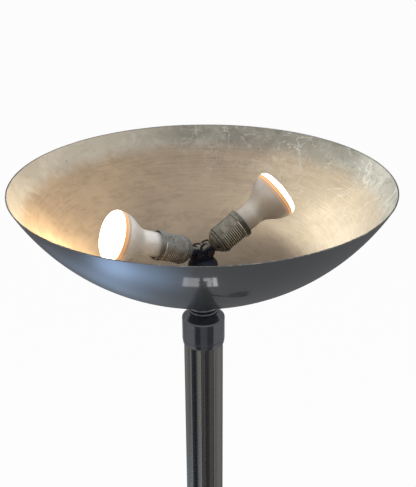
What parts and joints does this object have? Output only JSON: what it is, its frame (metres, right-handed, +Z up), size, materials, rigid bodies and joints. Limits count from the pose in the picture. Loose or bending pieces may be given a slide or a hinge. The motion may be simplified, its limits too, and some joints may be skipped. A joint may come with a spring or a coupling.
{
  "type": "floor lamp",
  "caption": "Torchiere floor lamp: wide metal bowl with tilting lampholders, fluted column, square base and a jointed reading light.",
  "frame": {"origin": "middle of the base's underside, on the floor, under the column's axis", "axes": "+Z up along the column, -Y towards the front with the dimmer knob, +X to the right"},
  "size_m": [0.4699, 0.47, 1.75],
  "materials": {
    "dark_nickel": "polished, dark",
    "cast_iron": "rough",
    "felt": "matt",
    "steel": "zinc plated",
    "black_rubber": "matt",
    "column_metal": "satin, dark",
    "polished_nickel": "polished black nickel",
    "alloy": "turned",
    "black_plastic": "satin",
    "bowl_metal": "spun, satin",
    "black_carrier": "satin black",
    "frosted_glass": "frosted",
    "ceramic": "glazed",
    "aged_metal": "aged",
    "brass": "plain",
    "bulb_plastic": "smooth",
    "diffuser": "lit"
  },
  "bodies": {
    "stand": {"base_cover": "dark_nickel", "base_weight": "cast_iron", "base_felt": "felt", "tie_washer": "steel", "tie_nut": "steel", "cable_grommet": "black_rubber", "lower_column": "column_metal", "middle_column": "column_metal", "upper_column": "column_metal", "joint_ring": "polished_nickel", "column_flange": "polished_nickel", "column_spigots": "alloy", "swivel_journal": "alloy", "shoulder_ring": "polished_nickel", "dimmer_ring": "polished_nickel", "dimmer_body": "black_plastic", "neck_spindle": "polished_nickel", "cup_plate": "polished_nickel", "neck_ring": "polished_nickel", "collar": "polished_nickel", "bowl": "bowl_metal", "bowl_washer": "steel", "lamp_carrier": "black_carrier", "tie_tube": "steel", "left_tilt_pin": "steel", "right_tilt_pin": "steel"},
    "right_light": {"right_holder_cap": "aged_metal", "right_holder_barrel": "aged_metal", "right_holder_ring": "aged_metal", "right_insulator": "ceramic", "right_screw_shell": "brass", "right_contact": "brass", "right_bulb_cap": "alloy", "right_bulb_body": "bulb_plastic", "right_bulb_diffuser": "diffuser", "right_lead": "black_rubber"},
    "left_light": {"left_holder_cap": "aged_metal", "left_holder_barrel": "aged_metal", "left_holder_ring": "aged_metal", "left_insulator": "ceramic", "left_screw_shell": "brass", "left_contact": "brass", "left_bulb_cap": "alloy", "left_bulb_body": "bulb_plastic", "left_bulb_diffuser": "diffuser", "left_lead": "black_rubber"},
    "dimmer": {"dimmer_knob": "black_plastic"},
    "swivel": {"swivel_ring": "polished_nickel", "arm_pin": "steel"},
    "arm": {"reading_arm": "polished_nickel", "head_pin": "steel"},
    "head": {"head_knuckle": "polished_nickel", "reading_shade": "dark_nickel", "reading_holder": "black_plastic", "reading_insert": "ceramic", "reading_bulb_cap": "alloy", "reading_bulb": "frosted_glass", "switch_body": "black_plastic"},
    "switch": {"switch_knob": "black_plastic"}
  },
  "joints": [
    {"name": "right_tilt", "type": "hinge", "parent": "stand", "child": "right_light", "pos_m": [0.0057, 0.00254, 1.65548], "axis": [0.4067, -0.9135, 0], "range_deg": [-12, 28]},
    {"name": "left_tilt", "type": "hinge", "parent": "stand", "child": "left_light", "pos_m": [-0.00899, -0.004, 1.65548], "axis": [-0.4067, 0.9135, 0], "range_deg": [-2, 38]},
    {"name": "dimmer_turn", "type": "hinge", "parent": "stand", "child": "dimmer", "pos_m": [0, -0.032, 1.097], "axis": [0, 1, 0], "range_deg": [0, 270]},
    {"name": "ring_swivel", "type": "hinge", "parent": "stand", "child": "swivel", "pos_m": [0, 0, 1.131], "axis": [0, 0, 1], "range_deg": [-150, 150]},
    {"name": "arm_tilt", "type": "hinge", "parent": "swivel", "child": "arm", "pos_m": [0.03677, 0.03677, 1.131], "axis": [0.7071, -0.7071, 0], "range_deg": [-23, 52]},
    {"name": "head_tilt", "type": "hinge", "parent": "arm", "child": "head", "pos_m": [0.12857, 0.12857, 1.1378], "axis": [0.7071, -0.7071, 0], "range_deg": [-19, 88]},
    {"name": "switch_turn", "type": "hinge", "parent": "head", "child": "switch", "pos_m": [0.14412, 0.11301, 1.0948], "axis": [-0.7071, 0.7071, 0], "range_deg": [0, 90]}
  ]
}
